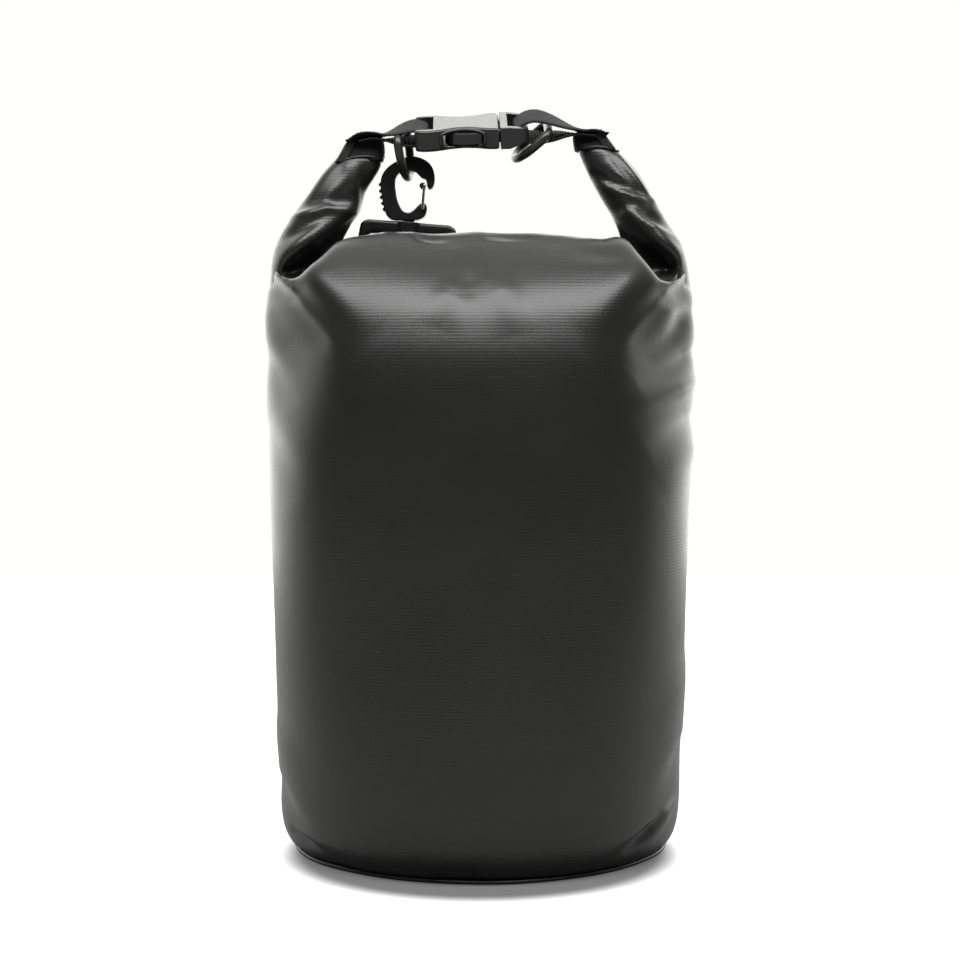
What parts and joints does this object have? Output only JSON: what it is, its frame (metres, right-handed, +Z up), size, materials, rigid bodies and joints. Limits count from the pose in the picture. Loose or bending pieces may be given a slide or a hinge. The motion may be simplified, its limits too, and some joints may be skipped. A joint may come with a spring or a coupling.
{
  "type": "roll-top dry bag",
  "caption": "Filled roll-top dry bag in black coated fabric, rolled shut and clipped into a handle by a side-release buckle, with D-rings and a swivelling snap hook.",
  "frame": {"origin": "centre of the round base, on the surface the bag stands on", "axes": "+Z up; +Y to the back; +X to the right of the front face, along the buckled handle"},
  "size_m": [0.212, 0.2002, 0.3666],
  "materials": {
    "pvc": "satin PVC-coated tarpaulin with a fine scrim showing through",
    "pvc_base": "satin PVC-coated tarpaulin, welded base panel",
    "stiffener": "flexible plastic strip",
    "webbing": "ribbed woven webbing",
    "buckle": "moulded acetal, fine satin",
    "ring": "moulded, satin sheen",
    "hook": "moulded acetal, matt",
    "gate": "drawn stainless spring wire"
  },
  "bodies": {
    "bag": {"bag_tube": "pvc", "base_panel": "pvc_base", "rolled_mouth": "pvc", "stiffener_lower": "stiffener", "stiffener_upper": "stiffener", "rolled_end_left": "pvc", "rolled_end_right": "pvc", "mouth_band_left": "webbing", "strap_left": "webbing", "buckle_socket": "buckle"},
    "plug_side": {"buckle_plug": "buckle", "strap_right": "webbing", "mouth_band_right": "webbing"},
    "prong_f": {"prong_front": "buckle"},
    "prong_r": {"prong_rear": "buckle"},
    "ring_l": {"d_ring_left": "ring"},
    "ring_r": {"d_ring_right": "ring"},
    "hook": {"hook_body": "hook"},
    "gate": {"hook_gate": "gate"},
    "swivel": {"webbing_loop": "hook"}
  },
  "joints": [
    {"name": "buckle_release", "type": "slide", "parent": "bag", "child": "plug_side", "axis": [0.999, 0, 0.0436], "range_m": [0, 0.028], "deforming": ["rolled_end_right", "prong_front", "prong_rear"]},
    {"name": "prong_front_squeeze", "type": "hinge", "parent": "plug_side", "child": "prong_f", "pos_m": [0.01095, -0.00971, 0.35015], "axis": [0.0407, 0.3584, -0.9327], "range_deg": [0, 8], "stiffness_Nm_per_rad": 0.5},
    {"name": "prong_rear_squeeze", "type": "hinge", "parent": "plug_side", "child": "prong_r", "pos_m": [0.01063, 0.00971, 0.35759], "axis": [-0.0407, -0.3584, 0.9327], "range_deg": [0, 8], "stiffness_Nm_per_rad": 0.5},
    {"name": "ring_left_swing", "type": "hinge", "parent": "bag", "child": "ring_l", "pos_m": [-0.0388, 0, 0.3524], "axis": [-0.1032, -0.9408, -0.3229], "range_deg": [-3, 12]},
    {"name": "hook_swing", "type": "hinge", "parent": "ring_l", "child": "hook", "pos_m": [-0.03603, 0.00175, 0.3311], "axis": [-0.1091, -0.994, 0], "range_deg": [-4, 18]},
    {"name": "gate_open", "type": "hinge", "parent": "hook", "child": "gate", "pos_m": [-0.02843, 0.00175, 0.3152], "axis": [0, -1, 0], "range_deg": [0, 24], "stiffness_Nm_per_rad": 0.02},
    {"name": "swivel_turn", "type": "hinge", "parent": "hook", "child": "swivel", "pos_m": [-0.03523, 0.00175, 0.3087], "axis": [0.0785, 0, 0.9969], "continuous": true},
    {"name": "ring_right_swing", "type": "hinge", "parent": "plug_side", "child": "ring_r", "pos_m": [0.0336, 0, 0.3549], "axis": [0, -0.9511, -0.309], "range_deg": [0, 75]}
  ]
}
